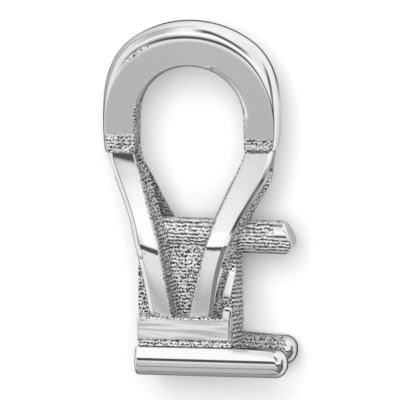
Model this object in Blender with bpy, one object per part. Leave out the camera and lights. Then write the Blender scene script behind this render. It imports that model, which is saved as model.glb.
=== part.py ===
"""Pendant slide with an unset three-prong mounting, one casting, lying on its side.

Metres, +Z up. +X points to the stone side and +Y to the top of the bail.
The design sizes are millimetres: X from the middle of the eye, Y from the lower prongs' axis,
and Z from the middle plane, about which the near and the far half are alike.
"""

import math

import bmesh
import bpy
from mathutils import Matrix, Vector

MM = 0.001

# Bail arch: a horseshoe with flat sides and a domed outer surface.
ARCH_HALF_WIDTH = 0.58
ARCH_RIM_RADIUS = 2.81
ARCH_RIM_Y = 7.93
EYE_RADIUS = 1.90
EYE_Y = 8.13
EYE_EDGE = 0.10
DOME_AT_SIDE = 0.17
DOME_AT_TOP = 0.64
ARCH_END_Y = 7.10
ARCH_DRAW_IN = 0.06
ARCH_STEPS = 32
DOME_STEPS = 8

# Legs: where the outer face stands at the fork, how far it sinks inside the arch, and where it runs flat.
FORK_FACE_Z = 0.54
ROOT_SINK = 0.04
FLAT_FACE_Z = 1.59
CREASE_Y = 4.00
CREASE_ROUND = 0.10
LEG_DEPTH_AT_FORK = 0.54
LEG_DEPTH_AT_FOOT = 0.74
LEG_DRAFT = 0.08
LEG_EDGE = 0.05
LEG_STEPS = 12

# Each row: height Y, rear edge X and front edge X of one leg's outer face.
REAR_LEG = (
    {"y": 7.45, "rear": -2.80, "front": -2.00},
    {"y": 7.10, "rear": -2.75, "front": -1.91},
    {"y": 6.25, "rear": -2.42, "front": -1.65},
    {"y": 5.40, "rear": -2.07, "front": -1.37},
    {"y": 4.70, "rear": -1.82, "front": -1.12},
    {"y": 4.00, "rear": -1.64, "front": -0.88},
    {"y": 2.90, "rear": -1.36, "front": -0.63},
    {"y": 1.50, "rear": -1.12, "front": -0.38},
)
FRONT_LEG = (
    {"y": 7.45, "rear": 1.84, "front": 2.86},
    {"y": 7.10, "rear": 1.79, "front": 2.82},
    {"y": 6.25, "rear": 1.54, "front": 2.55},
    {"y": 5.55, "rear": 1.24, "front": 2.16},
    {"y": 4.80, "rear": 0.93, "front": 1.74},
    {"y": 4.00, "rear": 0.68, "front": 1.40},
    {"y": 2.90, "rear": 0.43, "front": 1.11},
    {"y": 1.50, "rear": 0.14, "front": 0.92},
)

# Basket block, its sloped shoulders, and the side plates at the legs' feet.
BLOCK_REAR_X = -1.63
BLOCK_FRONT_X = 1.56
BLOCK_HALF_WIDTH = 0.88
BLOCK_SHOULDER_Y = 3.25
BLOCK_TOP_Y = 3.95
BLOCK_TOP_HALF_WIDTH = 0.42
BLOCK_FLOOR_Y = -0.42
PLATE_REAR_X = -1.53
PLATE_FRONT_X = 1.38
PLATE_TOP_Y = 1.64
PLATE_FLOOR_Y = 0.90
PLATE_ROOT_Z = 0.70
SEAM_HALF_WIDTH = 1.42
SEAM_SLOPE = 0.12

# Prongs: two below, side by side, and one above in the middle plane.
LOWER_PRONG_RADIUS = 0.508
LOWER_PRONG_Z = 1.05
LOWER_PRONG_REAR_X = -1.76
LOWER_PRONG_TIP_X = 3.40
LOWER_PRONG_NOSE = 0.42
LOWER_PRONG_HEEL = 0.13
UPPER_PRONG_RADIUS = 0.56
UPPER_PRONG_Y = 4.16
UPPER_PRONG_REAR_X = -1.25
UPPER_PRONG_TIP_X = 3.475
UPPER_PRONG_SLANT = 0.32
UPPER_PRONG_EDGE = 0.12
PRONG_SIDES = 24
NOSE_STEPS = 5

SHARP_ANGLE = 32
WHITE_GOLD = {"colour": (0.82, 0.82, 0.83, 1.0), "roughness": 0.12, "metallic": 1.0}


def clear_scene():
    for item in list(bpy.data.objects):
        bpy.data.objects.remove(item, do_unlink=True)


def make_material(name, look):
    material = bpy.data.materials.new(name)
    material.use_nodes = True
    shader = material.node_tree.nodes["Principled BSDF"]
    shader.inputs["Base Color"].default_value = look["colour"]
    shader.inputs["Roughness"].default_value = look["roughness"]
    shader.inputs["Metallic"].default_value = look["metallic"]
    return material


def loft(name, loops):
    """Join equal closed loops of points (in millimetres) into one closed body with capped ends."""
    mesh = bpy.data.meshes.new(name)
    shape = bmesh.new()
    rings = []
    for loop in loops:
        rings.append([shape.verts.new(Vector(point) * MM) for point in loop])
    count = len(rings[0])
    for first, second in zip(rings, rings[1:]):
        for k in range(count):
            following = (k + 1) % count
            shape.faces.new((first[k], first[following], second[following], second[k]))
    shape.faces.new(list(reversed(rings[0])))
    shape.faces.new(rings[-1])
    bmesh.ops.recalc_face_normals(shape, faces=shape.faces)
    shape.to_mesh(mesh)
    shape.free()
    mesh.shade_smooth()
    mesh.set_sharp_from_angle(angle=math.radians(SHARP_ANGLE))
    body = bpy.data.objects.new(name, mesh)
    bpy.context.collection.objects.link(body)
    return body


def lean(rows, k, column):
    """The slope of one column of a leg's table at row k, from the rows on both sides of it."""
    upper = rows[max(k - 1, 0)]
    lower = rows[min(k + 1, len(rows) - 1)]
    return (upper[column] - lower[column]) / (upper["y"] - lower["y"])


def edge_at(rows, height, column):
    """Read one column of a leg's table at a height, on a smooth cubic through its rows."""
    k = 1
    while k < len(rows) - 1 and height < rows[k]["y"]:
        k += 1
    upper, lower = rows[k - 1], rows[k]
    span = upper["y"] - lower["y"]
    t = (height - lower["y"]) / span
    at_lower = (1 + 2 * t) * (1 - t) ** 2 * lower[column] + t * (1 - t) ** 2 * span * lean(rows, k, column)
    at_upper = t * t * (3 - 2 * t) * upper[column] + t * t * (t - 1) * span * lean(rows, k - 1, column)
    return at_lower + at_upper


def arch_section(eye, rim, dome):
    """One section of the arch: flat sides, an eased eye wall and an elliptical dome."""
    reach = math.hypot(rim[0] - eye[0], rim[1] - eye[1])
    along = ((rim[0] - eye[0]) / reach, (rim[1] - eye[1]) / reach)
    flat = [(0.0, -ARCH_HALF_WIDTH + EYE_EDGE), (EYE_EDGE, -ARCH_HALF_WIDTH), (reach, -ARCH_HALF_WIDTH)]
    for k in range(1, DOME_STEPS):
        turn = -math.pi / 2 + math.pi * k / DOME_STEPS
        flat.append((reach + dome * math.cos(turn), ARCH_HALF_WIDTH * math.sin(turn)))
    flat += [(reach, ARCH_HALF_WIDTH), (EYE_EDGE, ARCH_HALF_WIDTH), (0.0, ARCH_HALF_WIDTH - EYE_EDGE)]
    return [(eye[0] + along[0] * out, eye[1] + along[1] * out, side) for out, side in flat]


def make_arch():
    """Sweep the section up the front side, over the top and down the rear side."""
    loops = []
    for drop in (1.0, 0.5):
        loops.append(arch_side(1.0, drop))
    for k in range(ARCH_STEPS + 1):
        turn = math.pi * k / ARCH_STEPS
        eye = (EYE_RADIUS * math.cos(turn), EYE_Y + EYE_RADIUS * math.sin(turn))
        rim = (ARCH_RIM_RADIUS * math.cos(turn), ARCH_RIM_Y + ARCH_RIM_RADIUS * math.sin(turn))
        dome = DOME_AT_SIDE + (DOME_AT_TOP - DOME_AT_SIDE) * math.sin(turn) ** 2
        loops.append(arch_section(eye, rim, dome))
    for drop in (0.5, 1.0):
        loops.append(arch_side(-1.0, drop))
    return loft("bail_arch", loops)


def arch_side(side, drop):
    """A section on the straight side of the arch, drawn in a little toward its end."""
    draw = ARCH_DRAW_IN * drop * drop
    eye = (side * (EYE_RADIUS - draw), EYE_Y + (ARCH_END_Y - EYE_Y) * drop)
    rim = (side * (ARCH_RIM_RADIUS - draw), ARCH_RIM_Y + (ARCH_END_Y - ARCH_RIM_Y) * drop)
    return arch_section(eye, rim, DOME_AT_SIDE)


def leg_face(height):
    """How far the leg's outer face stands from the middle plane."""
    if height <= CREASE_Y - CREASE_ROUND:
        return FLAT_FACE_Z
    slope = (FLAT_FACE_Z - FORK_FACE_Z) / (ARCH_END_Y - CREASE_Y)
    if height >= CREASE_Y + CREASE_ROUND:
        return max(FLAT_FACE_Z - slope * (height - CREASE_Y), FORK_FACE_Z - ROOT_SINK)
    into = height - (CREASE_Y - CREASE_ROUND)
    return FLAT_FACE_Z - slope * into * into / (4 * CREASE_ROUND)


def make_leg(name, rows, side):
    """Loft one leg down from inside the arch, round its crease and into the side plate."""
    top, foot = rows[0]["y"], rows[-1]["y"]
    heights = [top + (foot - top) * k / LEG_STEPS for k in range(LEG_STEPS + 1)]
    heights += [CREASE_Y + CREASE_ROUND, CREASE_Y, CREASE_Y - CREASE_ROUND]
    loops = []
    for height in sorted(heights, reverse=True):
        rear = edge_at(rows, height, "rear")
        front = edge_at(rows, height, "front")
        face = leg_face(height)
        share = min(max((ARCH_END_Y - height) / (ARCH_END_Y - CREASE_Y), 0.0), 1.0)
        depth = LEG_DEPTH_AT_FORK + (LEG_DEPTH_AT_FOOT - LEG_DEPTH_AT_FORK) * share
        section = [
            (rear, face - LEG_EDGE),
            (rear + LEG_EDGE, face),
            (front - LEG_EDGE, face),
            (front, face - LEG_EDGE),
            (front + LEG_DRAFT, face - depth),
            (rear - LEG_DRAFT, face - depth),
        ]
        loops.append([(x, height, side * z) for x, z in section])
    return loft(name, loops)


def make_block():
    """Extrude the basket's house-shaped section from its rear to the seat wall."""
    half = [
        (BLOCK_FLOOR_Y, BLOCK_HALF_WIDTH),
        (BLOCK_SHOULDER_Y, BLOCK_HALF_WIDTH),
        (BLOCK_TOP_Y, BLOCK_TOP_HALF_WIDTH),
    ]
    outline = half + [(y, -z) for y, z in reversed(half)]
    return loft("basket_block", [[(x, y, z) for y, z in outline] for x in (BLOCK_REAR_X, BLOCK_FRONT_X)])


def make_plates():
    """Extrude the two side plates and the seam under them as one bar across the block."""
    half = [
        (0.0, SEAM_HALF_WIDTH),
        (PLATE_FLOOR_Y - SEAM_SLOPE, SEAM_HALF_WIDTH),
        (PLATE_FLOOR_Y, FLAT_FACE_Z),
        (PLATE_TOP_Y, FLAT_FACE_Z),
        (PLATE_TOP_Y, PLATE_ROOT_Z),
    ]
    outline = half + [(y, -z) for y, z in reversed(half)]
    return loft("side_plates", [[(x, y, z) for y, z in outline] for x in (PLATE_REAR_X, PLATE_FRONT_X)])


def ring(centre_y, centre_z, radius, station):
    """A round loop across X; station gives the X of each point from its height on the ring."""
    points = []
    for k in range(PRONG_SIDES):
        turn = 2 * math.pi * (k + 0.5) / PRONG_SIDES
        y = radius * math.cos(turn)
        z = radius * math.sin(turn)
        points.append((station(y), centre_y + y, centre_z + z))
    return points


def make_lower_prong(name, side):
    """A round bar with an eased heel and a bullnose tip."""
    stops = [(LOWER_PRONG_REAR_X, LOWER_PRONG_RADIUS - LOWER_PRONG_HEEL)]
    stops.append((LOWER_PRONG_REAR_X + LOWER_PRONG_HEEL, LOWER_PRONG_RADIUS))
    for k in range(NOSE_STEPS + 1):
        turn = math.pi / 2 * k / NOSE_STEPS
        x = LOWER_PRONG_TIP_X - LOWER_PRONG_NOSE * (1 - math.sin(turn))
        stops.append((x, LOWER_PRONG_RADIUS - LOWER_PRONG_NOSE * (1 - math.cos(turn))))
    loops = []
    for x, radius in stops:
        loops.append(ring(0.0, side * LOWER_PRONG_Z, radius, lambda y, x=x: x))
    return loft(name, loops)


def make_upper_prong():
    """A round bar whose tip is cut on a slant, longer below than above."""
    slope = UPPER_PRONG_SLANT / (2 * UPPER_PRONG_RADIUS)
    centre_x = UPPER_PRONG_TIP_X - UPPER_PRONG_SLANT / 2
    stops = [
        (UPPER_PRONG_REAR_X, UPPER_PRONG_RADIUS, 0.0),
        (centre_x - UPPER_PRONG_EDGE, UPPER_PRONG_RADIUS, slope),
        (centre_x, UPPER_PRONG_RADIUS - UPPER_PRONG_EDGE, slope),
    ]
    loops = []
    for x, radius, lean in stops:
        loops.append(ring(UPPER_PRONG_Y, 0.0, radius, lambda y, x=x, lean=lean: x - lean * y))
    return loft("upper_prong", loops)


def fuse(main, others):
    """Union every other body into the main one, and keep each as a hidden guide."""
    for other in others:
        union = main.modifiers.new(other.name, "BOOLEAN")
        union.operation = "UNION"
        union.solver = "EXACT"
        union.object = other
        other.hide_render = True
        other.display_type = "WIRE"


def rest_on_floor(main, others):
    """Move every body so that the part stands on Z = 0 with its box centred on the origin."""
    corners = [vertex.co for body in [main, *others] for vertex in body.data.vertices]
    low = Vector([min(corner[k] for corner in corners) for k in range(3)])
    high = Vector([max(corner[k] for corner in corners) for k in range(3)])
    shift = Matrix.Translation((-(low.x + high.x) / 2, -(low.y + high.y) / 2, -low.z))
    for body in [main, *others]:
        body.data.transform(shift)


def build():
    clear_scene()
    arch = make_arch()
    bodies = [
        make_leg("rear_leg_near", REAR_LEG, 1.0),
        make_leg("rear_leg_far", REAR_LEG, -1.0),
        make_leg("front_leg_near", FRONT_LEG, 1.0),
        make_leg("front_leg_far", FRONT_LEG, -1.0),
        make_block(),
        make_plates(),
        make_lower_prong("lower_prong_near", 1.0),
        make_lower_prong("lower_prong_far", -1.0),
        make_upper_prong(),
    ]
    rest_on_floor(arch, bodies)
    fuse(arch, bodies)
    arch.name = "slide_casting"
    arch.data.materials.append(make_material("white_gold", WHITE_GOLD))


build()
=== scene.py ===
import math
import bpy
import numpy as np
from mathutils import Matrix, Vector


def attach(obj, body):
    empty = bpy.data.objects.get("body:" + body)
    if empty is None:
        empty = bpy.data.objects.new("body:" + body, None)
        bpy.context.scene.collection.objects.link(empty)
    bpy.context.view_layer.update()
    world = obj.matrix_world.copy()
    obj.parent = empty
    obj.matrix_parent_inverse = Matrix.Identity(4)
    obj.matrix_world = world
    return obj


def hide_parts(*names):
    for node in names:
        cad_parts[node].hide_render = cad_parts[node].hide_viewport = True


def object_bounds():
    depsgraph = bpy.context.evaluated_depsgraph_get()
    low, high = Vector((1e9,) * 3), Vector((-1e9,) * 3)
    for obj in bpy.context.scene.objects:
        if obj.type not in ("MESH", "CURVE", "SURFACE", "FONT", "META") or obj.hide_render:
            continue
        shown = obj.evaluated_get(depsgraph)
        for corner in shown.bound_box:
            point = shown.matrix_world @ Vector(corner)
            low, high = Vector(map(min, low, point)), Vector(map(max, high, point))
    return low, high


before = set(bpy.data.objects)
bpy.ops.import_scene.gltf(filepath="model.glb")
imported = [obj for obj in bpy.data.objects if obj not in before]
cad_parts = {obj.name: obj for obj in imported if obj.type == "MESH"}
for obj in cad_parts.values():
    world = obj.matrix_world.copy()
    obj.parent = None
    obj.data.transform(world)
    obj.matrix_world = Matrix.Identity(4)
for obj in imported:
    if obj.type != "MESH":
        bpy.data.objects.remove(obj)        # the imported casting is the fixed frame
cadLow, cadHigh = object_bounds()
print("frame loaded, box in mm", [round((h - l) * 1000, 3) for l, h in zip(cadLow, cadHigh)])

# Shapes below are in millimetres: x from the middle of the eye, y from the lower prongs' axis,
# z from the middle plane.
mm = 0.001
archReach = {"rear": -2.98, "top": 11.38}      # the arch's own ends, which place it in the frame's box
origin = np.array([
    cadLow.x - archReach["rear"] * mm,
    cadHigh.y - archReach["top"] * mm,
    (cadLow.z + cadHigh.z) / 2,
])


# Surfaces worked out as arrays

def readRows(rows, heights, column):
    # cubic between each two rows of a table; the slope at a row is the harmonic mean of the slopes on its
    # two sides, or 0 at a turning point, so the curve never overshoots
    ys = np.array([row["at"] for row in rows])
    values = np.array([row[column] for row in rows])
    steps = np.diff(values) / np.diff(ys)
    before, after = np.concatenate([steps[:1], steps]), np.concatenate([steps, steps[-1:]])
    same = before * after > 0
    slopes = np.where(same, 2 * before * after / np.where(same, before + after, 1), 0)
    k = np.clip(np.searchsorted(ys, heights) - 1, 0, len(ys) - 2)
    span = ys[k + 1] - ys[k]
    t = (heights - ys[k]) / span
    low = (1 + 2 * t) * (1 - t) ** 2 * values[k] + t * (1 - t) ** 2 * span * slopes[k]
    high = t * t * (3 - 2 * t) * values[k + 1] + t * t * (t - 1) * span * slopes[k + 1]
    return low + high


def bow(half, rise, power, steps):
    # superellipse from (0, half) over (rise, 0) to (0, -half); a low power gives a gable, a high one a box
    turn = np.linspace(0, np.pi, steps)
    side = half * np.sign(np.cos(turn)) * np.abs(np.cos(turn)) ** (2 / power)
    out = np.abs(np.sin(turn)) ** (2 / power)
    return out[None, :] * np.atleast_1d(rise)[:, None], np.broadcast_to(side, (np.size(rise), steps))


def softSection(corners, radii, crowns, cornerSteps, edgeSteps):
    # rounded polygon for each row of corners: quadratic curves at the corners, edges bowed out by a parabola
    def unit(v):
        return v / np.linalg.norm(v, axis=-1, keepdims=True)
    toLast = unit(np.roll(corners, 1, axis=1) - corners)
    toNext = unit(np.roll(corners, -1, axis=1) - corners)
    reach = np.asarray(radii)[None, :, None]
    start = corners + toLast * reach
    end = corners + toNext * reach
    t = np.linspace(0, 1, cornerSteps)[None, None, :, None]
    arc = (1 - t) ** 2 * start[:, :, None] + 2 * t * (1 - t) * corners[:, :, None] + t * t * end[:, :, None]
    s = np.linspace(0, 1, edgeSteps + 2)[1:-1][None, None, :, None]
    outward = np.stack([toNext[..., 1], -toNext[..., 0]], axis=-1)
    fromMiddle = corners - corners.mean(axis=1, keepdims=True)
    turned = np.sign(np.sum(outward * fromMiddle, axis=-1, keepdims=True))
    rise = (outward * turned * np.asarray(crowns)[None, :, None])[:, :, None] * 4 * s * (1 - s)
    edge = end[:, :, None] * (1 - s) + np.roll(start, -1, axis=1)[:, :, None] * s + rise
    joined = np.concatenate([arc, edge], axis=2)
    return joined.reshape(len(corners), -1, 2)


def roundEnds(grid, ease, steps, fill):
    # quarter-round at both ends of a tube of rings, then rings that shrink in the end's plane to its middle
    def cap(ring, inner):
        middle = ring.mean(axis=0)
        axis = middle - inner.mean(axis=0)
        axis /= np.linalg.norm(axis)
        size = np.linalg.norm(ring - middle, axis=1).mean()
        turn = np.linspace(0, np.pi / 2, steps + 1)[1:]
        shrink = 1 - ease / size * (1 - np.cos(turn))
        rings = [middle + (ring - middle) * k + axis * ease * np.sin(a) for k, a in zip(shrink, turn)]
        face = rings[-1]
        centre = face.mean(axis=0)
        rings += [centre + (face - centre) * k for k in np.linspace(1, 0, fill + 2)[1:-1]]
        return np.array(rings)
    first = cap(grid[0], grid[1])[::-1]
    last = cap(grid[-1], grid[-2])
    return np.concatenate([first, grid, last])


def carryAlongX(outline, crowns, shape, rearX, frontX, endEase):
    # softened outline in y and z carried straight along x, with rounded ends
    eases = [shape["ease"]] * len(outline)
    section = softSection(np.array(outline)[None], eases, crowns, shape["cornerSteps"], shape["edgeSteps"])[0]
    x = np.linspace(rearX + endEase, frontX - endEase, shape["stations"])
    grid = np.empty((len(x), len(section), 3))
    grid[..., 0] = x[:, None]
    grid[..., 1:] = section[None]
    return roundEnds(grid, endEase, shape["easeSteps"], shape["endRings"])


def newObject(name, data):
    made = bpy.data.objects.new(name, data)
    bpy.context.collection.objects.link(made)
    return made


def solidFromRings(name, grid, cast, material, paintedEdgeShade=1.0):
    # closed tube: quads between rings, a fan of triangles round a middle point at each end; cast is 1 where
    # the skin is as cast, and the edge mask is 1 where painted shade, a dark line for the shaded floor
    # mirrored there, is drawn as the surface turns edge-on
    rings, around = grid.shape[:2]
    index = np.arange(rings * around).reshape(rings, around)
    beside = np.roll(index, -1, axis=1)
    quads = np.stack([index[:-1], beside[:-1], beside[1:], index[1:]], axis=-1).reshape(-1, 4)
    points = grid.reshape(-1, 3)
    middles = np.stack([grid[0].mean(axis=0), grid[-1].mean(axis=0)])
    points = np.concatenate([points, middles])
    first, last = rings * around, rings * around + 1
    fans = [np.stack([beside[0], index[0], np.full(around, first)], axis=-1)]
    fans.append(np.stack([index[-1], beside[-1], np.full(around, last)], axis=-1))
    corners = np.concatenate([quads.reshape(-1), fans[0].reshape(-1), fans[1].reshape(-1)])
    tri = np.concatenate([quads[:, [0, 1, 2]], quads[:, [0, 2, 3]], fans[0], fans[1]])
    volume = np.einsum("ij,ij->i", points[tri[:, 0]], np.cross(points[tri[:, 1]], points[tri[:, 2]])).sum()
    sizes = np.concatenate([np.full(len(quads), 4), np.full(2 * around, 3)])
    starts = np.concatenate([[0], np.cumsum(sizes)[:-1]])
    mesh = bpy.data.meshes.new(name)
    mesh.vertices.add(len(points))
    mesh.vertices.foreach_set("co", (points * mm + origin).astype(np.float32).ravel())
    mesh.loops.add(len(corners))
    mesh.loops.foreach_set("vertex_index", corners.astype(np.int32))
    mesh.polygons.add(len(sizes))
    mesh.polygons.foreach_set("loop_start", starts.astype(np.int32))
    mesh.update(calc_edges=True)
    if volume < 0:
        mesh.flip_normals()
    mesh.shade_smooth()
    for label, share in (("cast", cast), ("paintedEdgeShade", np.broadcast_to(paintedEdgeShade, (rings, around)))):
        mask = mesh.attributes.new(label, "FLOAT", "POINT")
        tips = [share[0].mean(), share[-1].mean()]
        mask.data.foreach_set("value", np.concatenate([share.ravel(), tips]).astype(np.float32))
    mesh.materials.append(material)
    piece = newObject(name, mesh)
    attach(piece, "root")
    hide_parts("slide_casting")
    print("piece", name, len(points), "points")
    return piece


def ramp(values, low, high):
    # 0 below low, 1 above high, smooth between
    t = np.clip((values - low) / (high - low), 0, 1)
    return t * t * (3 - 2 * t)


# Finishes

def grey(tone):
    return (tone, tone, tone, 1)


goldLook = {
    "polished": (0.87, 0.87, 0.875, 1),
    # painted shade: the dark colour below is drawn where the surface turns edge-on, standing in for the
    # shaded floor mirrored there
    "paintedEdgeShade": grey(0.10), "paintedEdgeFrom": 0.50, "paintedEdgeTo": 0.75,      # seen where the surface turns edge-on
    "castDark": grey(0.06), "castLight": grey(1.0), "castStops": (0.20, 0.70),
    "castMetal": 0.55,      # oxide and dust on the as-cast skin scatter the rest of the light
    "castTint": grey(0.5),  # and dull its edge-on shine
    "grain": 15000.0, "layers": 53000.0,        # how fine the grains and the build layers are
    "layerShare": 0.5,      # build layers against the grains
    "castStretch": (1, 1, 1), "castTurn": 0.0,      # that pattern stretched, and turned about x in degrees
    "castDepth": 0.03,      # mm
    "waves": (700, 700, 700),       # how close the buffed waves lie, per metre
    "waveDepth": 0.006,     # mm
    "marks": 0.02,          # hairlines against the waves
    "borderGrain": 6000.0, "borderWander": 0.7, "border": (0.4, 0.6),   # between polished and as-cast skin
}
castGrain = {
    "wanderStretch": (3600, 900, 3600), "wander": 7.0,      # the layers sway by this many radians
    "dashStretch": (5500, 14000, 5500), "dashGain": 3.0, "dashLess": -0.9,
    "grainGain": 4.4,
    "roughFrom": 0.10, "roughSpread": 0.08,
}
buffMarks = {
    "stretch": (2500, 30000, 30000),        # hairlines are long in x and narrow across it
    "roughFrom": 0.03, "roughSpread": 0.07,
}


def newGroup(name, inputs, outputs):
    group = bpy.data.node_groups.new(name, "ShaderNodeTree")
    for label, kind, value in inputs:
        socket = group.interface.new_socket(label, in_out="INPUT", socket_type=kind)
        if value is not None:
            socket.default_value = value
    for label, kind in outputs:
        group.interface.new_socket(label, in_out="OUTPUT", socket_type=kind)
    return group, group.nodes.new("NodeGroupInput"), group.nodes.new("NodeGroupOutput")


def newMaterial(name):
    material = bpy.data.materials.new(name)
    material.use_nodes = True
    tree = material.node_tree
    shader, place = tree.nodes["Principled BSDF"], tree.nodes.new("ShaderNodeTexCoord").outputs["Object"]
    return material, tree, shader, place


def feed(tree, socket, value):
    # a number or a colour is set on the socket, another node's output is linked to it
    if isinstance(value, (int, float, tuple)):
        socket.default_value = value
    else:
        tree.links.new(value, socket)


def addMath(tree, operation, a, b=None, third=None, clamp=False):
    node = tree.nodes.new("ShaderNodeMath")
    node.operation = operation
    node.use_clamp = clamp
    for slot, value in zip(node.inputs, (a, b, third)):
        if value is not None:
            feed(tree, slot, value)
    return node.outputs[0]


def mixColour(tree, share, a, b):
    node = tree.nodes.new("ShaderNodeMix")
    node.data_type = "RGBA"
    for slot, value in ((0, share), (6, a), (7, b)):       # the colour sockets are the seventh and the eighth
        feed(tree, node.inputs[slot], value)
    return node.outputs[2]


def addRange(tree, value, low, high, start=0.0, stop=1.0):
    # start up to low, stop from high, straight between
    node = tree.nodes.new("ShaderNodeMapRange")
    for label, number in (("From Min", low), ("From Max", high), ("To Min", start), ("To Max", stop)):
        node.inputs[label].default_value = number
    feed(tree, node.inputs["Value"], value)
    return node.outputs["Result"]


def addNoise(tree, vector, scale, detail, rough):
    node = tree.nodes.new("ShaderNodeTexNoise")
    for label, value in (("Vector", vector), ("Scale", scale), ("Detail", detail), ("Roughness", rough)):
        feed(tree, node.inputs[label], value)
    return node.outputs[0]


def addStretch(tree, vector, scale, turn=0.0):
    node = tree.nodes.new("ShaderNodeMapping")
    feed(tree, node.inputs["Vector"], vector)
    feed(tree, node.inputs["Scale"], scale)
    node.inputs["Rotation"].default_value = (math.radians(turn), 0, 0)
    return node.outputs[0]


def addAxes(tree, vector):
    node = tree.nodes.new("ShaderNodeSeparateXYZ")
    feed(tree, node.inputs[0], vector)
    return node.outputs


def addAttribute(tree, label):
    node = tree.nodes.new("ShaderNodeAttribute")
    node.attribute_name = label
    return node.outputs["Fac"]


def addBump(tree, height, depth):
    node = tree.nodes.new("ShaderNodeBump")
    node.inputs["Strength"].default_value = 1.0
    node.inputs["Distance"].default_value = depth * mm
    feed(tree, node.inputs["Height"], height)
    return node


def addGroup(tree, group, values):
    node = tree.nodes.new("ShaderNodeGroup")
    node.node_tree = group
    for label, value in values.items():
        feed(tree, node.inputs[label], value)
    return node


def castSkinGroup():
    # build layers across y, broken into dashes, under grains of sand; Shade is the contrast of both together
    group, given, made = newGroup("castSkin", [
        ("Vector", "NodeSocketVector", None),
        ("Layers", "NodeSocketFloat", goldLook["layers"]),
        ("Grain", "NodeSocketFloat", goldLook["grain"]),
        ("Layer Share", "NodeSocketFloat", goldLook["layerShare"]),
    ], [("Height", "NodeSocketFloat"), ("Shade", "NodeSocketFloat"), ("Roughness", "NodeSocketFloat")])
    place = given.outputs["Vector"]
    wander = addNoise(group, addStretch(group, place, castGrain["wanderStretch"]), 1.0, 3.0, 0.55)
    phase = addMath(group, "MULTIPLY", addAxes(group, place)["Y"], given.outputs["Layers"])
    phase = addMath(group, "ADD", phase, addMath(group, "MULTIPLY", wander, castGrain["wander"]))
    waves = addMath(group, "MULTIPLY", addMath(group, "SINE", phase), 0.5)
    dashes = addNoise(group, addStretch(group, place, castGrain["dashStretch"]), 1.0, 2.0, 0.6)
    gain, less = castGrain["dashGain"], castGrain["dashLess"]
    dashes = addMath(group, "MULTIPLY_ADD", dashes, gain, third=less, clamp=True)
    lines = addMath(group, "MULTIPLY", waves, dashes)
    grains = addNoise(group, place, given.outputs["Grain"], 1.0, 0.6)
    grains = addMath(group, "MULTIPLY_ADD", grains, castGrain["grainGain"], third=-castGrain["grainGain"] / 2)
    layered = addMath(group, "MULTIPLY", lines, given.outputs["Layer Share"])
    height = addMath(group, "ADD", layered, addMath(group, "MULTIPLY", grains, 0.5))
    group.links.new(height, made.inputs["Height"])
    shade = addMath(group, "MULTIPLY_ADD", height, 1.0, third=0.5, clamp=True)
    group.links.new(shade, made.inputs["Shade"])
    rough = addMath(group, "MULTIPLY_ADD", shade, castGrain["roughSpread"], third=castGrain["roughFrom"])
    group.links.new(rough, made.inputs["Roughness"])
    return group


def buffedGroup():
    # slow waves left by the buff, stretched as asked, and hairline marks along x
    group, given, made = newGroup("buffed", [
        ("Vector", "NodeSocketVector", None),
        ("Waves", "NodeSocketVector", goldLook["waves"]),
        ("Marks", "NodeSocketFloat", goldLook["marks"]),
    ], [("Height", "NodeSocketFloat"), ("Roughness", "NodeSocketFloat")])
    place = given.outputs["Vector"]
    slow = addNoise(group, addStretch(group, place, given.outputs["Waves"]), 1.0, 1.0, 0.4)
    hair = addNoise(group, addStretch(group, place, buffMarks["stretch"]), 1.0, 3.0, 0.6)
    fine = addMath(group, "MULTIPLY", hair, given.outputs["Marks"])
    group.links.new(addMath(group, "ADD", slow, fine), made.inputs["Height"])
    rough = addMath(group, "MULTIPLY_ADD", hair, buffMarks["roughSpread"], third=buffMarks["roughFrom"])
    group.links.new(rough, made.inputs["Roughness"])
    return group


castSkin = castSkinGroup()
buffed = buffedGroup()


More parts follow.
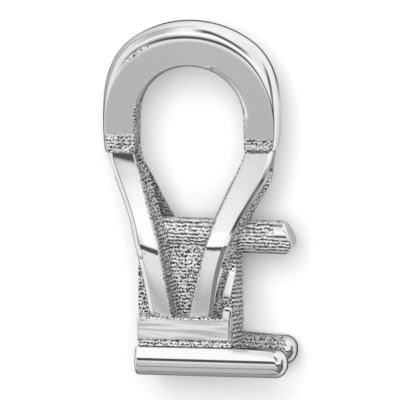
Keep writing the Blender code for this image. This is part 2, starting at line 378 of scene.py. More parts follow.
def goldMaterial(name, look):
    # polished gold and as-cast gold, mixed by the cast attribute with a ragged border; painted shade darkens
    # the polished gold where the surface turns edge-on
    material, tree, shader, place = newMaterial(name)
    turned = addStretch(tree, place, (1, 1, 1), look["castTurn"])
    rough = addGroup(tree, castSkin, {
        "Vector": addStretch(tree, turned, look["castStretch"]),
        "Layers": look["layers"], "Grain": look["grain"], "Layer Share": look["layerShare"],
    })
    polish = addGroup(tree, buffed, {"Vector": place, "Waves": look["waves"], "Marks": look["marks"]})
    specks = addNoise(tree, place, look["borderGrain"], 3.0, 0.6)
    ragged = addMath(tree, "MULTIPLY_ADD", specks, look["borderWander"], third=-look["borderWander"] / 2)
    masked = addRange(tree, addMath(tree, "ADD", addAttribute(tree, "cast"), ragged), *look["border"])

    colour = tree.nodes.new("ShaderNodeValToRGB")
    for stop, tone, at in zip(colour.color_ramp.elements, ("castDark", "castLight"), look["castStops"]):
        stop.color = look[tone]
        stop.position = at
    tree.links.new(rough.outputs["Shade"], colour.inputs["Fac"])
    # painted shade: where the surface turns edge-on, the edge mask darkens the polished base colour and the
    # specular tint, standing in for the shaded floor mirrored there
    facing = tree.nodes.new("ShaderNodeLayerWeight").outputs["Facing"]
    line = addRange(tree, facing, look["paintedEdgeFrom"], look["paintedEdgeTo"])
    edgeShadeShare = addMath(tree, "MULTIPLY", line, addAttribute(tree, "paintedEdgeShade"))
    polished = mixColour(tree, edgeShadeShare, look["polished"], look["paintedEdgeShade"])
    tree.links.new(mixColour(tree, masked, polished, colour.outputs["Color"]), shader.inputs["Base Color"])
    rim = mixColour(tree, edgeShadeShare, grey(1.0), look["paintedEdgeShade"])
    tree.links.new(mixColour(tree, masked, rim, look["castTint"]), shader.inputs["Specular Tint"])

    metal = addMath(tree, "MULTIPLY_ADD", masked, look["castMetal"] - 1, third=1.0)
    tree.links.new(metal, shader.inputs["Metallic"])
    gloss = tree.nodes.new("ShaderNodeMix")
    tree.links.new(masked, gloss.inputs["Factor"])
    tree.links.new(polish.outputs["Roughness"], gloss.inputs["A"])
    tree.links.new(rough.outputs["Roughness"], gloss.inputs["B"])
    tree.links.new(gloss.outputs["Result"], shader.inputs["Roughness"])

    smoothBump = addBump(tree, polish.outputs["Height"], look["waveDepth"])
    castBump = addBump(tree, addMath(tree, "MULTIPLY", rough.outputs["Height"], masked), look["castDepth"])
    tree.links.new(smoothBump.outputs["Normal"], castBump.inputs["Normal"])
    tree.links.new(castBump.outputs["Normal"], shader.inputs["Normal"])
    return material


archGold = goldMaterial("archGold", {**goldLook, "waveDepth": 0.004, "castLight": grey(0.88)})
legGold = goldMaterial("legGold", {**goldLook, "castDark": grey(0.02), "castLight": grey(0.86)})
basketGold = goldMaterial("basketGold", {
    **goldLook, "castDark": grey(0.02), "castMetal": 0.65, "castStops": (0.25, 0.66), "grain": 14500.0,
})
wallGold = goldMaterial("wallGold", {
    **goldLook, "castStretch": (1, 1, 0.18), "castTurn": 11.2, "layers": 43000.0, "layerShare": 1.3,
    "castDark": grey(0.0), "castLight": grey(0.9), "castMetal": 0.1, "castStops": (0.40, 0.62),
})
# painted shade: a darker copy of the gold for the far legs, its as-cast skin darkened to stand in for the
# shadow they lie in
paintedShadeGold = goldMaterial("paintedShadeGold", {**goldLook, "castLight": grey(0.62), "castMetal": 0.8})
plateGold = goldMaterial("plateGold", {
    **goldLook, "waves": (350, 2900, 900), "waveDepth": 0.07, "castMetal": 0.35,
})
prongGold = goldMaterial("prongGold", {**goldLook, "waveDepth": 0.003, "castLight": grey(0.8)})
upperProngGold = goldMaterial("upperProngGold", {**goldLook, "layerShare": 1.2})
print("finishes ready")


# Bail arch

arch = {
    "halfWidth": 0.58,
    "rimRadius": 2.81, "rimY": 7.93,
    "eyeRadius": 1.89, "eyeY": 8.10,
    "domeAtSide": 0.15, "domeAtTop": 0.64, "domePower": 2.0,
    "domeFullAt": 55,       # the dome is at its full height this many degrees up
    "eyeBulge": 0.12, "eyePower": 2.5,
    # worn edge along the eye: how wide and deep it is, and the x and y over which it sets in
    "wornWidth": 0.10, "wornDepth": 0.05, "wornX": (0.5, 1.0), "wornY": (7.9, 8.4),
    "rearEndY": 7.02, "frontEndY": 7.24, "drawIn": 0.06,
    "endEase": 0.10, "easeSteps": 4, "endRings": 3,
    "stations": 150, "dropStations": 22,
    "domeSteps": 61, "eyeSteps": 23, "flatSteps": 25,
    "roughBelowRear": 7.68, "roughBelowFront": 7.66,   # y under which the faces are left as cast
    "roughFade": (-0.25, 0.05),     # the y over which that skin ends, counted from there
    "rimFade": (0.02, 0.08),        # and how far beyond the rim's radius it stops
    "roughEye": (8.15, 9.05),       # the y over which the eye's wall turns polished
    # ragged line beside the rim, toward the rear: degrees round the dome, and x between which it fades in
    # and out
    "seamTurn": 14, "seamHalf": 8, "seamShare": 0.68, "seamRear": (-2.6, -2.0), "seamFront": (-1.5, -1.1),
    # the painted dark line of shade at the rim is weaker on top toward the rear, counted in y from the rim's
    # middle, and low on the front side
    "topLoss": 0.6, "topLossY": (0.2, 1.0), "topLossX": (-1.9, -0.7),
    "frontLoss": 0.85, "frontLossX": (2.0, 2.6), "frontLossY": (8.6, 9.8),
}


def makeArch():
    # section of two flat sides, a domed rim and a bulged eye wall, carried round a horseshoe, front to rear
    drop = np.linspace(1, 0, arch["dropStations"], endpoint=False)
    turn = np.linspace(0, np.pi, arch["stations"])
    draw = arch["drawIn"] * drop ** 2

    def carried(radius, height):
        over = np.stack([radius * np.cos(turn), height + radius * np.sin(turn)], axis=1)
        front = np.stack([radius - draw, height + (arch["frontEndY"] - height) * drop], axis=1)
        rear = np.stack([draw - radius, height + (arch["rearEndY"] - height) * drop], axis=1)[::-1]
        return np.concatenate([front, over, rear])
    eye = carried(arch["eyeRadius"], arch["eyeY"])
    rim = carried(arch["rimRadius"], arch["rimY"])
    rise = ramp(90 - np.abs(np.degrees(turn) - 90), 0, arch["domeFullAt"])
    lift = np.concatenate([0 * drop, rise, 0 * drop])
    dome = arch["domeAtSide"] + (arch["domeAtTop"] - arch["domeAtSide"]) * lift
    reach = np.linalg.norm(rim - eye, axis=1)
    along = (rim - eye) / reach[:, None]

    half = arch["halfWidth"]
    domeOut, domeSide = bow(half, dome, arch["domePower"], arch["domeSteps"])
    bulge = arch["eyeBulge"] * np.concatenate([1 - drop ** 2, 1 + 0 * turn, (1 - drop ** 2)[::-1]])
    eyeOut, eyeSide = bow(half, bulge, arch["eyePower"], arch["eyeSteps"])
    flat = np.linspace(0, 1, arch["flatSteps"] + 2)[1:-1]
    nearFlat = reach[:, None] * flat
    worn = arch["wornDepth"] * (ramp(eye[:, 0], *arch["wornX"]) * ramp(eye[:, 1], *arch["wornY"]))[:, None]
    sides = half - worn * (1 - np.clip(nearFlat / arch["wornWidth"], 0, 1))
    eyeSide = eyeSide * (1 - worn / half)
    out = np.concatenate([nearFlat, reach[:, None] + domeOut, nearFlat[:, ::-1], -eyeOut], axis=1)
    side = np.concatenate([sides, domeSide, -sides, -eyeSide], axis=1)
    flatXY = eye[:, None, :] + along[:, None, :] * out[:, :, None]
    grid = np.concatenate([flatXY, side[:, :, None]], axis=2)
    eyeWall = np.zeros(grid.shape[1])
    eyeWall[-arch["eyeSteps"] + 1:-1] = 1
    grid = roundEnds(grid, arch["endEase"], arch["easeSteps"], arch["endRings"])

    x, y = grid[..., 0], grid[..., 1]
    faceEdge = np.where(x < 0, arch["roughBelowRear"], arch["roughBelowFront"])
    onRim = ramp(np.hypot(x, y - arch["rimY"]) - arch["rimRadius"], *arch["rimFade"])
    low = 1 - ramp(y - faceEdge, *arch["roughFade"])
    wall = eyeWall[None, :] * (1 - ramp(y, *arch["roughEye"]))
    domeTurn = np.full(grid.shape[1], np.inf)
    domeTurn[arch["flatSteps"]:arch["flatSteps"] + arch["domeSteps"]] = np.linspace(0, 180, arch["domeSteps"])
    seam = np.exp(-((domeTurn - arch["seamTurn"]) / arch["seamHalf"]) ** 2)[None]
    seam = arch["seamShare"] * seam * ramp(x, *arch["seamRear"]) * (1 - ramp(x, *arch["seamFront"]))
    seam = seam * ramp(y - arch["rimY"], 0, 1)
    cast = np.clip(np.maximum(np.maximum(low * (1 - onRim), wall), seam), 0, 1)
    # painted shade: the dark edge line is drawn on the dome and the eye wall only
    onTop = ramp(y - arch["rimY"], *arch["topLossY"]) * (1 - ramp(x, *arch["topLossX"]))
    inFront = ramp(x, *arch["frontLossX"]) * (1 - ramp(y, *arch["frontLossY"]))
    domed = np.isfinite(domeTurn) | (eyeWall > 0)
    paintedEdgeShade = (1 - arch["topLoss"] * onTop - arch["frontLoss"] * inFront) * domed[None]
    return solidFromRings("bail_arch", grid, cast, archGold, paintedEdgeShade)


makeArch()


# Legs

leg = {
    "flatFace": 1.59, "levelY": 2.20,       # the face's z, and the height at which it has that z
    "depthAtFoot": 0.74, "depthAtFork": 0.54,
    "thinFrom": 4.0, "thinTo": 7.1,         # the heights over which it thins from the one depth to the other
    # the walls spread by the draft down to this share of the depth, and from there to the flare at the back;
    # toward the fork both change over mergeY
    "draft": 0.07, "flareFrom": 0.55, "mergeY": (5.8, 7.0),
    "bevel": 0.15, "bevelDrop": 0.09,       # strip along the outer edge of the face
    "softEase": 0.035, "innerEase": 0.05, "backEase": 0.04,
    "faceCrown": 0.006,
    "castAtCorner": 0.5,                    # how rough the inner edge and the back's corners are
    "castAtFoot": 0.7, "footFade": (1.66, 1.84),    # and the foot, up to these heights
    # the dark edge line on the wall toward the front is painted shade
    "wallEdgeShade": 0.2,                     # how strong the dark line is on the wall toward the front
    "creaseY": 4.0, "creaseReach": 0.30,    # the crease's bend fades out over this much height
    # below spreadBelow the far rear leg grows wider toward the eye, by farSpread for each mm down
    "farSpread": 0.11, "spreadBelow": 6.8, "spreadOver": 2.4,
    "stations": 230, "cornerSteps": 7, "edgeSteps": 18, "tiltReadings": 900,
    "footY": 1.20, "rootY": 7.45,
}

# how far a leg's face leans back at each height, in degrees, at its rear and its front edge: below the crease
# the same on every leg, then as each leg's own rows say
footTilt = (
    {"at": 1.20, "rear": -34.0, "front": -34.0},
    {"at": 1.64, "rear": -28.0, "front": -28.0},
    {"at": 1.78, "rear": -3.0, "front": -3.0},
    {"at": 1.90, "rear": 0.0, "front": 0.0},
    {"at": 2.40, "rear": 1.5, "front": 1.5},
    {"at": 3.20, "rear": 5.0, "front": 5.0},
)

rearLeg = {
    "outer": "rear",
    "flare": {"rear": 0.16, "front": 0.22}, "flareAtFork": {"rear": 0.0, "front": 0.17},
    "rows": (
        {"at": 1.50, "rear": -1.12, "front": -0.38},
        {"at": 2.90, "rear": -1.38, "front": -0.63},
        {"at": 4.00, "rear": -1.67, "front": -0.88},
        {"at": 4.70, "rear": -1.86, "front": -1.12},
        {"at": 5.40, "rear": -2.14, "front": -1.37},
        {"at": 6.25, "rear": -2.52, "front": -1.65},
        {"at": 7.10, "rear": -2.80, "front": -1.91},
        {"at": 7.45, "rear": -2.80, "front": -1.95},
    ),
    "tilt": footTilt + (
        {"at": 3.77, "rear": 7.0, "front": 7.0},
        {"at": 3.85, "rear": 10.5, "front": 10.5},
        {"at": 3.98, "rear": 14.5, "front": 14.5},
        {"at": 4.06, "rear": 21.2, "front": 21.2},
        {"at": 4.80, "rear": 21.0, "front": 21.0},
        {"at": 5.60, "rear": 18.9, "front": 18.7},
        {"at": 6.10, "rear": 18.0, "front": 17.6},
        {"at": 6.45, "rear": 17.4, "front": 17.0},
        {"at": 6.62, "rear": 17.0, "front": 16.2},
        {"at": 6.82, "rear": 13.0, "front": 12.6},
        {"at": 7.45, "rear": 12.5, "front": 12.5},
    ),
    # how far the crease rises across the whole face, and how far it bends up from that, 0 at the rear edge
    # and 1 at the front edge
    "creaseRise": -0.24,
    "crease": (
        {"at": 0.00, "up": -0.05}, {"at": 0.20, "up": -0.04},
        {"at": 0.45, "up": 0.0}, {"at": 1.00, "up": 0.0},
    ),
    "dint": {"x": -1.36, "y": 3.72, "reachX": 0.07, "reachY": 0.07, "depth": 0.006},
}

frontLeg = {
    "outer": "front",
    "flare": {"rear": 0.10, "front": 0.25}, "flareAtFork": {"rear": 0.0, "front": 0.02},
    "rows": (
        {"at": 1.50, "rear": 0.14, "front": 0.92},
        {"at": 2.90, "rear": 0.43, "front": 1.11},
        {"at": 4.00, "rear": 0.68, "front": 1.40},
        {"at": 4.80, "rear": 0.93, "front": 1.74},
        {"at": 5.55, "rear": 1.24, "front": 2.16},
        {"at": 6.25, "rear": 1.54, "front": 2.55},
        {"at": 7.10, "rear": 1.83, "front": 2.78},
        {"at": 7.45, "rear": 1.88, "front": 2.80},
    ),
    "tilt": footTilt + (
        {"at": 3.70, "rear": 7.0, "front": 8.4},
        {"at": 3.83, "rear": 9.2, "front": 11.2},
        {"at": 3.96, "rear": 13.8, "front": 14.4},
        {"at": 4.05, "rear": 21.6, "front": 21.6},
        {"at": 4.90, "rear": 21.6, "front": 21.2},
        {"at": 5.60, "rear": 20.8, "front": 20.0},
        {"at": 6.30, "rear": 20.3, "front": 18.6},
        {"at": 7.45, "rear": 20.2, "front": 18.2},
    ),
    "creaseRise": 0.05,
    "crease": (
        {"at": 0.00, "up": 0.08}, {"at": 1.00, "up": 0.08},
    ),
    "dint": {"x": 1.36, "y": 3.90, "reachX": 0.05, "reachY": 0.05, "depth": 0.006},
}


def faceFall(tilt, heights, shift, across):
    # the tangent of the face's lean summed up from levelY, read at heights moved down by the crease's shift
    fine = np.linspace(tilt[0]["at"], tilt[-1]["at"], leg["tiltReadings"])
    lost = []
    for column in ("rear", "front"):
        slope = np.tan(np.radians(readRows(tilt, fine, column)))
        fall = np.concatenate([[0], np.cumsum((slope[1:] + slope[:-1]) / 2 * (fine[1] - fine[0]))])
        lost.append(np.interp(heights - shift, fine, fall) - np.interp(leg["levelY"] - shift, fine, fall))
    return lost[0] * (1 - across) + lost[1] * across


def makeLeg(name, shape, side, spread, material):
    # rounded polygon read at each height; its face falls back by the summed lean, and all corners go with it
    y = np.linspace(leg["footY"], leg["rootY"], leg["stations"])
    rear = readRows(shape["rows"], y, "rear")
    front = readRows(shape["rows"], y, "front")
    front = front + spread * np.clip(leg["spreadBelow"] - y, 0, leg["spreadOver"])
    face = leg["flatFace"] - faceFall(shape["tilt"], y, 0.0, 0.5)
    share = np.clip((y - leg["thinFrom"]) / (leg["thinTo"] - leg["thinFrom"]), 0, 1)
    back = face - (leg["depthAtFoot"] + (leg["depthAtFork"] - leg["depthAtFoot"]) * share)
    bend = face + (back - face) * leg["flareFrom"]
    atFork = ramp(y, *leg["mergeY"])
    flare = {
        edge: shape["flare"][edge] * (1 - atFork) + shape["flareAtFork"][edge] * atFork
        for edge in shape["flare"]
    }
    draft = leg["draft"] * (1 - atFork)
    walls = [
        np.stack([front + draft, bend], axis=1),
        np.stack([front + flare["front"], back], axis=1),
        np.stack([rear - flare["rear"], back], axis=1),
        np.stack([rear - draft, bend], axis=1),
    ]
    rearEdge, frontEdge = np.stack([rear, face], axis=1), np.stack([front, face], axis=1)
    soft, inner, deep = leg["softEase"], leg["innerEase"], [leg["backEase"]] * 4
    bevel, drop, crown = leg["bevel"], leg["bevelDrop"], leg["faceCrown"]
    if shape["outer"] == "rear":
        corners = [rearEdge - [0, drop], rearEdge + [bevel, 0], frontEdge] + walls
        eases, crowns = [soft, soft, inner] + deep, [0, crown, 0, 0, 0, 0, 0]
        faceAt, innerCorner, innerWall = 1, 2, 2
    else:
        corners = [rearEdge, frontEdge - [bevel, 0], frontEdge - [0, drop]] + walls
        eases, crowns = [inner, soft, soft] + deep, [crown, 0, 0, 0, 0, 0, 0]
        faceAt, innerCorner, innerWall = 0, 0, 6
    section = softSection(np.stack(corners, axis=1), eases, crowns, leg["cornerSteps"], leg["edgeSteps"])
    x = section[..., 0]
    heights = np.broadcast_to(y[:, None], x.shape)
    across = np.clip((x - rear[:, None]) / (front - rear)[:, None], 0, 1)
    fade = np.exp(-((heights - leg["creaseY"]) / leg["creaseReach"]) ** 2)
    shift = shape["creaseRise"] * (across - 0.5) + readRows(shape["crease"], across, "up") * fade
    fallen = faceFall(shape["tilt"], heights, shift, across)
    depth = section[..., 1] + (leg["flatFace"] - fallen) - face[:, None]
    dint = shape["dint"]
    away = ((x - dint["x"]) / dint["reachX"]) ** 2 + ((heights - dint["y"]) / dint["reachY"]) ** 2
    depth -= dint["depth"] * np.exp(-away)
    grid = np.stack([x, heights, side * depth], axis=2)

    # round the section each corner's columns come before those of the edge after it; the walls deeper than
    # the bend are corners 3 to 6, with the back's corners 4 and 5 among them
    steps = leg["cornerSteps"]
    per = steps + leg["edgeSteps"]
    around = np.zeros(len(corners) * per)
    around[innerWall * per + steps - 1:(innerWall + 1) * per] = 1
    around[3 * per:6 * per + steps] = 1
    for corner in (4, 5, innerCorner):
        around[corner * per:corner * per + steps] = leg["castAtCorner"]
    foot = 1 - ramp(y, *leg["footFade"])
    cast = np.maximum(np.broadcast_to(around, x.shape), leg["castAtFoot"] * foot[:, None])
    # painted shade: a dark line where the surface turns edge-on, drawn all round but on the face, and weaker
    # on the wall toward the front
    paintedEdgeShade = np.ones(len(corners) * per)
    paintedEdgeShade[faceAt * per + steps:(faceAt + 1) * per] = 0
    paintedEdgeShade[2 * per + steps:3 * per + steps] = leg["wallEdgeShade"]
    return solidFromRings(name, grid, cast, material, paintedEdgeShade)


makeLeg("rear_leg_near", rearLeg, 1, 0.0, legGold)
makeLeg("front_leg_near", frontLeg, 1, 0.0, legGold)
# the far legs take the darker copy of the gold, which is painted shade
makeLeg("rear_leg_far", rearLeg, -1, leg["farSpread"], paintedShadeGold)
makeLeg("front_leg_far", frontLeg, -1, 0.0, paintedShadeGold)


# Wavy lips of metal under the arch's ends

lip = {
    "rearY": 7.00, "frontY": 7.22, "z": 0.545, "radius": 0.055, "swing": 0.02, "waves": 3.1,
    "power": 4.0, "lean": 21.0,
    "endShare": 0.05, "endPower": 6,        # share of the radius left at the ends, and how late it closes
    "rearX": (-2.66, -1.98), "frontX": (1.92, 2.72),
    "stations": 60, "around": 20,
}


def makeLip(name, ends, height, side):
    # thin rod along x with a superelliptic section leaned toward +y; its path swings in y by a sine, and its
    # radius closes at the ends by a flat-topped curve
    s = np.linspace(0, 1, lip["stations"])
    a = np.linspace(0, 2 * np.pi, lip["around"], endpoint=False)
    x = ends[0] + (ends[1] - ends[0]) * s
    path = height + lip["swing"] * np.sin(2 * np.pi * lip["waves"] * s + ends[0])
    full = np.sqrt(np.clip(1 - (2 * s - 1) ** lip["endPower"], 0, 1))
    r = lip["radius"] * (lip["endShare"] + (1 - lip["endShare"]) * full)
    across = np.sign(np.sin(a)) * np.abs(np.sin(a)) ** (2 / lip["power"])
    out = np.sign(np.cos(a)) * np.abs(np.cos(a)) ** (2 / lip["power"])
    lean = math.radians(lip["lean"])
    grid = np.stack([
        np.broadcast_to(x[:, None], (len(s), len(a))),
        path[:, None] + r[:, None] * (across * math.cos(lean) + out * math.sin(lean)),
        side * (lip["z"] + r[:, None] * (out * math.cos(lean) - across * math.sin(lean))),
    ], axis=2)
    return solidFromRings(name, grid, np.zeros(grid.shape[:2]), archGold)


for side, label in ((1, "near"), (-1, "far")):
    makeLip("rear_lip_" + label, lip["rearX"], lip["rearY"], side)
    makeLip("front_lip_" + label, lip["frontX"], lip["frontY"], side)


# Basket block with sloped shoulders

block = {
    "rearX": -1.66, "frontX": 1.56,
    "halfWidth": 0.88, "shoulderY": 3.25, "topY": 3.95, "topHalfWidth": 0.42, "floorY": -0.42,
    "ease": 0.08, "endEase": 0.06, "stations": 90,
    "cornerSteps": 6, "edgeSteps": 26, "easeSteps": 4, "endRings": 12,
    "wallX": 1.50, "wallEase": 0.02, "wallLap": 0.01,       # the seat wall starts this much inside the block
}


def makeBlock(name, rearX, frontX, endEase, material):
    # house-shaped section carried straight along x
    half, top = block["halfWidth"], block["topHalfWidth"]
    outline = [
        [block["floorY"], half], [block["shoulderY"], half], [block["topY"], top],
        [block["topY"], -top], [block["shoulderY"], -half], [block["floorY"], -half],
    ]
    grid = carryAlongX(outline, [0] * 6, block, rearX, frontX, endEase)
    return solidFromRings(name, grid, np.ones(grid.shape[:2]), material)


makeBlock("basket_block", block["rearX"], block["wallX"], block["endEase"], basketGold)
makeBlock("seat_wall", block["wallX"] - block["wallLap"], block["frontX"], block["wallEase"], wallGold)


# Polished pads on the block beside the front legs, a small one where the near front foot meets its plate, and
# a drop of metal at the near rear leg's crease

pad = {
    "x": 1.42, "y": 2.73, "z": 0.93,
    "halfLength": 0.60, "halfWidth": 0.14, "halfDepth": 0.10,
    "slant": 0.17, "lean": 21.0,        # top leans to +x by the slant; the face turns toward +y by the lean
    "power": 5.0, "stations": 50, "around": 48,
}
cornerPad = {
    "x": 1.43, "y": 1.79, "z": 1.42,
    "halfLength": 0.27, "halfWidth": 0.16, "halfDepth": 0.14,
    "slant": 0.10, "lean": 8.0,
    "power": 4.0, "stations": 50, "around": 48,
}
drop = {
    "x": -1.475, "y": 3.745, "z": 1.475,
    "halfLength": 0.18, "halfWidth": 0.09, "halfDepth": 0.05,
    "slant": -0.12, "lean": 24.0,
    "power": 2.6, "stations": 50, "around": 48,
}


def makePad(name, side, shape, paintedEdgeShade):
    # superellipsoid, long along y, tipped about x by the lean and sheared by the slant
    along = np.linspace(-np.pi / 2, np.pi / 2, shape["stations"])[1:-1]
    a = np.linspace(0, 2 * np.pi, shape["around"], endpoint=False)

    def soft(v):
        return np.sign(v) * np.abs(v) ** (2 / shape["power"])
    length = shape["halfLength"] * soft(np.sin(along))[:, None] * np.ones_like(a)
    width = shape["halfWidth"] * soft(np.cos(along))[:, None] * soft(np.cos(a))
    depth = shape["halfDepth"] * soft(np.cos(along))[:, None] * soft(np.sin(a))
    lean = math.radians(shape["lean"])
    y = length * math.cos(lean) + depth * math.sin(lean)
    z = depth * math.cos(lean) - length * math.sin(lean)
    x = width + shape["slant"] * y
    grid = np.stack([shape["x"] + x, shape["y"] + y, side * (shape["z"] + z)], axis=2)
    return solidFromRings(name, grid, np.zeros(grid.shape[:2]), legGold, paintedEdgeShade)


# the last number is how strong the painted shade of the dark edge line is on each piece
makePad("front_pad_near", 1, pad, 0.0)
makePad("front_pad_far", -1, pad, 0.0)
makePad("corner_pad_near", 1, cornerPad, 0.4)
makePad("rear_drop", 1, drop, 1.0)


# Side plates at the legs' feet, with the rough seam under them

plate = {
    "rearX": -1.58, "frontX": {"near": 1.55, "far": 1.49},
    "topY": 1.64, "topFace": 1.565, "floorY": 0.92, "floorFace": 1.615,
    "seamTopY": 0.86, "seamLowY": 0.65, "seamFace": 1.43,
    "tuckY": 0.60, "tuckFace": 0.95, "footY": 0.10, "root": 0.70,
    "ease": 0.02, "endEase": 0.07, "crown": 0.004,
    "stations": 90, "cornerSteps": 5, "edgeSteps": 12, "easeSteps": 4, "endRings": 6,
    "rise": 0.014,      # y gained for each mm of x
    # where the skin turns as cast, counted in y from the plate's floor and from its top, and how much on top
    "seamFade": (-0.02, 0.04), "topFade": (-0.10, -0.02), "topShare": 0.8,
    # the dark line at the edges below is painted shade, drawn as the surface turns edge-on
    "lineX": (0, 0.5),      # the x over which the dark line at the edges ends
}


def makePlate(name, side, frontX):
    # stepped section of plate and seam carried along x, sheared up by the rise
    outline = [
        [plate["footY"], plate["root"]], [plate["footY"], plate["tuckFace"]],
        [plate["tuckY"], plate["tuckFace"]], [plate["seamLowY"], plate["seamFace"]],
        [plate["seamTopY"], plate["seamFace"]], [plate["floorY"], plate["floorFace"]],
        [plate["topY"], plate["topFace"]], [plate["topY"], plate["root"]],
    ]
    face = 5        # the edge from the floor's front corner to the top's
    crowns = [plate["crown"] if edge == face else 0 for edge in range(len(outline))]
    grid = carryAlongX(outline, crowns, plate, plate["rearX"], frontX, plate["endEase"])
    grid[..., 2] *= side
    seam = 1 - ramp(grid[..., 1] - plate["floorY"], *plate["seamFade"])
    upper = ramp(grid[..., 1] - plate["topY"], *plate["topFade"]) * plate["topShare"]
    grid[..., 1] += plate["rise"] * grid[..., 0]
    per = plate["cornerSteps"] + plate["edgeSteps"]
    drawn = np.ones(grid.shape[1])
    drawn[face * per + plate["cornerSteps"]:(face + 1) * per] = 0
    paintedEdgeShade = drawn[None] * (1 - ramp(grid[..., 0], *plate["lineX"]))
    return solidFromRings(name, grid, np.maximum(seam, upper), plateGold, paintedEdgeShade)


makePlate("side_plate_near", 1, plate["frontX"]["near"])
makePlate("side_plate_far", -1, plate["frontX"]["far"])


# Prongs

lowerProng = {
    "radius": 0.485, "y": 0.07, "z": 1.06, "rearX": -1.70, "tipX": 3.41,
    "nose": 0.42, "heel": 0.13,
    "rise": 0.012,          # y gained for each mm of x
    # flats round the bar: degrees from its outer side toward its top, and how far the corner after each one
    # is eased
    "flats": (
        {"turn": -170, "ease": 0.03}, {"turn": -140, "ease": 0.03}, {"turn": -112, "ease": 0.03},
        {"turn": -78, "ease": 0.04}, {"turn": -51, "ease": 0.05}, {"turn": -18, "ease": 0.025},
        {"turn": -5, "ease": 0.012}, {"turn": 4, "ease": 0.008}, {"turn": 8, "ease": 0.006},
        {"turn": 15, "ease": 0.004}, {"turn": 28, "ease": 0.012}, {"turn": 100, "ease": 0.03},
        {"turn": 140, "ease": 0.03}, {"turn": 165, "ease": 0.03},
    ),
    "flatCrown": 0.0005,
    # x between which the flats give way to a round nose, on the faces and at the sharp corner on top, which
    # is told by its distance from the axis in radii
    "wornFace": (2.80, 3.25), "wornCorner": (1.40, 3.10), "cornerReach": (1.02, 1.08),
    # as-cast skin: toward the middle plane and on top, in radii from the axis, none near the nose and some at
    # the tip, in mm from it
    "castInward": (-0.1, 0.2), "castTop": (0.2, 0.5), "castEnd": (-0.55, -0.30), "castTip": (-0.22, -0.08),
    # no painted dark edge line of shade between these degrees round the bar, up to this many mm from the tip
    "plainFrom": (-45, -35), "plainTo": (60, 70), "plainEnd": -0.2,
    "stations": 120, "noseSteps": 18, "endRings": 6, "cornerSteps": 5, "edgeSteps": 7,
}
upperProng = {
    "radius": 0.56, "y": 4.16, "rearX": -1.25,
    "ease": 0.09, "bentFrom": 2.2,
    # polished facet near the tip: the x over which it sets in, and its place round the bar by the sine and
    # the cosine of the turn from the top
    "facetX": (2.68, 2.98), "facetOut": (0.0, 0.2), "facetLow": (-0.02, 0.12), "facetHigh": (0.84, 0.95),
    # painted shade: the dark edge line below is painted, and weaker at the tip
    "tipLoss": 0.75,        # how much weaker the dark line is at the tip
    # where the slanted tip ends at each height over the axis
    "tip": (
        {"at": -0.56, "x": 3.22}, {"at": -0.40, "x": 3.36}, {"at": -0.22, "x": 3.45},
        {"at": -0.05, "x": 3.41}, {"at": 0.56, "x": 3.14},
    ),
    "stations": 150, "easeSteps": 8, "endRings": 10, "around": 96,
}


def flatsSection(bar):
    # polygon whose flats touch a circle at the given turns from the prong's outer side, its corners rounded
    turns = np.radians([flat["turn"] for flat in bar["flats"]])
    eases = [flat["ease"] for flat in bar["flats"]]
    half = (np.roll(turns, -1) - turns) % (2 * np.pi) / 2
    corner = bar["radius"] / np.cos(half)
    outline = np.stack([corner * np.sin(turns + half), corner * np.cos(turns + half)], axis=1)[None]
    crowns = [bar["flatCrown"]] * len(turns)
    return softSection(outline, eases, crowns, bar["cornerSteps"], bar["edgeSteps"])[0]


def makeLowerProng(name, side, castOnTop, castAtTip):
    # bar with long flats; its rings shrink at heel and nose along quarter circles
    bar, radius = lowerProng, lowerProng["radius"]
    turn = np.linspace(0, np.pi / 2, bar["noseSteps"])
    noseX = bar["tipX"] - bar["nose"] * (1 - np.sin(turn))
    noseR = radius - bar["nose"] * (1 - np.cos(turn))
    heelX = bar["rearX"] + bar["heel"] * (1 - np.cos(turn))
    heelR = radius - bar["heel"] * (1 - np.sin(turn))
    barX = np.linspace(heelX[-1], noseX[0], bar["stations"])[1:-1]
    barR = np.full(len(barX), radius)
    rings = bar["endRings"]
    inner = np.linspace(0, 1, rings + 2)[1:-1]
    x = np.concatenate([np.full(rings, heelX[0]), heelX, barX, noseX, np.full(rings, noseX[-1])])
    r = np.concatenate([heelR[0] * inner, heelR, barR, noseR, noseR[-1] * inner[::-1]])
    section = flatsSection(bar)
    reach = np.linalg.norm(section, axis=1, keepdims=True)
    circle = section / reach * radius
    corner = ramp(reach[:, 0] / radius, *bar["cornerReach"])
    start = bar["wornFace"][0] * (1 - corner) + bar["wornCorner"][0] * corner
    end = bar["wornFace"][1] * (1 - corner) + bar["wornCorner"][1] * corner
    flat = 1 - np.clip((x[:, None] - start) / (end - start), 0, 1)[:, :, None]
    shaped = (r / radius)[:, None, None] * (section * flat + circle * (1 - flat))
    grid = np.stack([
        np.broadcast_to(x[:, None], shaped.shape[:2]),
        bar["y"] + bar["rise"] * x[:, None] + shaped[..., 0],
        side * (bar["z"] + shaped[..., 1]),
    ], axis=2)

    up, out = section[:, 0] / radius, section[:, 1] / radius
    skin = np.maximum(ramp(-out, *bar["castInward"]), castOnTop * ramp(up, *bar["castTop"]))
    fromTip = grid[..., 0] - bar["tipX"]
    cast = skin[None] * (1 - ramp(fromTip, *bar["castEnd"]))
    cast = np.maximum(cast, castAtTip * ramp(fromTip, *bar["castTip"]))
    turned = np.degrees(np.arctan2(up, out))[None]
    plain = ramp(turned, *bar["plainFrom"]) * (1 - ramp(turned, *bar["plainTo"]))
    onBar = ramp(x, bar["rearX"], heelX[-1]) * (1 - ramp(x, noseX[0], bar["tipX"] + bar["plainEnd"]))
    return solidFromRings(name, grid, cast, prongGold, 1 - plain * onBar[:, None])


